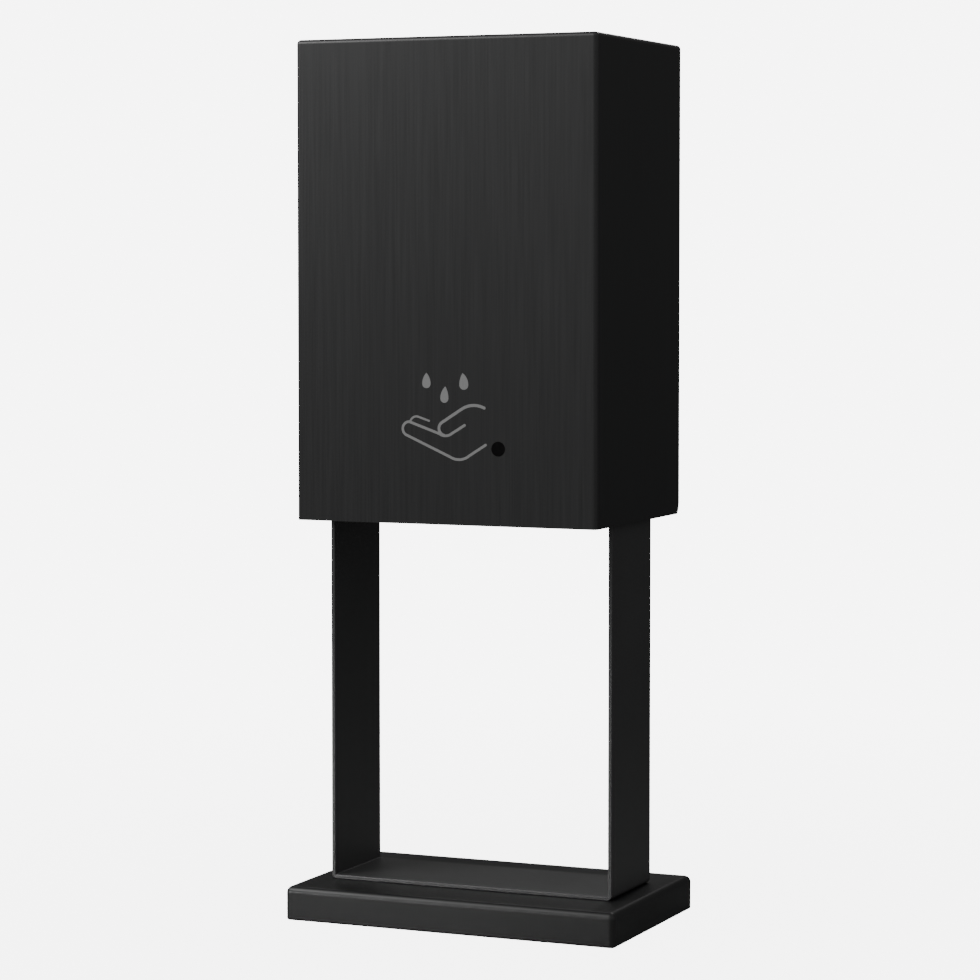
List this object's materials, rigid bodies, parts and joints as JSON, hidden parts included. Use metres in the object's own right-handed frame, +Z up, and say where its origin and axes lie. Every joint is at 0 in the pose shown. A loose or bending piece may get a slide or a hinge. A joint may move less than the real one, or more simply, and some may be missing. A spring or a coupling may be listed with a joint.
{
  "type": "touch-free soap dispenser",
  "caption": "Touch-free hand sanitiser or soap dispenser: tall box case on a bent flat-bar frame and a thick base plate, with a tilting front cover over reservoir, gear pump and batteries.",
  "frame": {"origin": "centre of the stand's underside, on the table", "axes": "+Z up, -Y out of the case's front face, +X to the right seen from the front"},
  "size_m": [0.166, 0.107, 0.4135],
  "materials": {
    "cover_paint": "satin black coat with a faint upright grain",
    "stand_paint": "smooth black coat",
    "base_gloss": "glossy black coat",
    "chassis_zinc": "zinc-plated sheet",
    "zinc_fastener": "bright zinc",
    "turned_brass": "turned brass",
    "foot_rubber": "matte rubber",
    "symbol_print": "grey print",
    "dark_window": "near-black infrared window",
    "lock_chrome": "polished chrome",
    "tank_plastic": "milky polyethylene",
    "cap_plastic": "blue moulded plastic",
    "seal_rubber": "red-brown silicone",
    "pump_plastic": "white acetal",
    "gear_steel": "ground steel",
    "motor_steel": "drawn steel can",
    "black_plastic": "black moulded plastic",
    "tube_silicone": "clear-white silicone tube",
    "board_green": "green solder mask",
    "component_black": "moulded component",
    "cell_jacket": "dark battery jacket",
    "spring_steel": "nickel-plated spring steel",
    "light_clear": "clear acrylic",
    "switch_red": "red plastic",
    "lead_insulation": "lead insulation"
  },
  "bodies": {
    "root": {"base_plate": "base_gloss", "rubber_feet": "foot_rubber", "stand_frame": "stand_paint", "frame_studs": "zinc_fastener", "stud_nuts": "zinc_fastener", "m4_screws": "zinc_fastener", "clinch_nuts": "zinc_fastener", "back_plate": "chassis_zinc", "lock_keeper": "chassis_zinc", "tank": "tank_plastic", "tank_outlet": "black_plastic", "outlet_nut": "black_plastic", "tank_shelf": "chassis_zinc", "panel_screws": "zinc_fastener", "pump_body": "pump_plastic", "pump_lid": "pump_plastic", "pump_screws": "zinc_fastener", "idler_pin": "gear_steel", "motor_can": "motor_steel", "motor_end_cap": "black_plastic", "pump_bracket": "chassis_zinc", "inlet_tube": "tube_silicone", "outlet_tube": "tube_silicone", "nozzle": "black_plastic", "nozzle_tip": "black_plastic", "nozzle_nut": "turned_brass", "nozzle_plate": "black_plastic", "valve_spring": "spring_steel", "sensor_windows": "dark_window", "ir_diodes": "light_clear", "sensor_board": "board_green", "battery_box": "black_plastic", "battery_cells": "cell_jacket", "battery_contacts": "spring_steel", "circuit_board": "board_green", "board_bracket": "chassis_zinc", "m3_screws": "zinc_fastener", "board_components": "component_black", "light_guide": "light_clear", "power_switch": "component_black", "wiring": "lead_insulation"},
    "cover": {"front_cover": "cover_paint", "hinge_pins": "zinc_fastener", "stop_pins": "zinc_fastener", "hand_symbol": "symbol_print", "indicator_lens": "dark_window", "lock_body": "lock_chrome", "lock_nut": "zinc_fastener"},
    "lock": {"lock_core": "lock_chrome", "lock_cam": "zinc_fastener"},
    "cap": {"tank_cap": "cap_plastic", "cap_seal": "seal_rubber"},
    "pump_drive": {"drive_gear": "gear_steel", "motor_shaft": "gear_steel"},
    "pump_idler": {"idler_gear": "gear_steel"},
    "check_ball": {"valve_ball": "gear_steel"},
    "door": {"battery_door": "black_plastic", "door_contacts": "spring_steel"},
    "knob": {"switch_knob": "switch_red"},
    "button": {"dose_button": "switch_red"}
  },
  "joints": [
    {"name": "cover_tilt", "type": "hinge", "parent": "root", "child": "cover", "pos_m": [0, 0.0485, 0.1948], "axis": [1, 0, 0], "range_deg": [0, 32]},
    {"name": "key_turn", "type": "hinge", "parent": "cover", "child": "lock", "pos_m": [0, 0.033, 0.4028], "axis": [0, 0, -1], "range_deg": [0, 90]},
    {"name": "cap_turn", "type": "hinge", "parent": "root", "child": "cap", "pos_m": [-0.036, 0.002, 0.3798], "axis": [0, 0, 1], "range_deg": [0, 90]},
    {"name": "pump_drive_turn", "type": "hinge", "parent": "root", "child": "pump_drive", "pos_m": [0.0295, -0.006, 0.2348], "axis": [0, 1, 0], "continuous": true},
    {"name": "pump_idler_turn", "type": "hinge", "parent": "root", "child": "pump_idler", "pos_m": [0.0295, -0.006, 0.2468], "axis": [0, 1, 0], "continuous": true},
    {"name": "check_ball_drop", "type": "slide", "parent": "root", "child": "check_ball", "axis": [0, 0, -1], "range_m": [0, 0.0015], "stiffness_N_per_m": 60, "springref_m": -0.003, "deforming": ["valve_spring"]},
    {"name": "battery_door_slide", "type": "slide", "parent": "root", "child": "door", "axis": [0, 0, 1], "range_m": [0, 0.008]},
    {"name": "switch_slide", "type": "slide", "parent": "root", "child": "knob", "axis": [1, 0, 0], "range_m": [0, 0.003]},
    {"name": "dose_press", "type": "slide", "parent": "root", "child": "button", "axis": [0, 1, 0], "range_m": [0, 0.0008], "stiffness_N_per_m": 350, "springref_m": -0.001}
  ],
  "couplings": [
    {"joint": "pump_idler_turn", "follows": "pump_drive_turn", "ratio": -1}
  ]
}
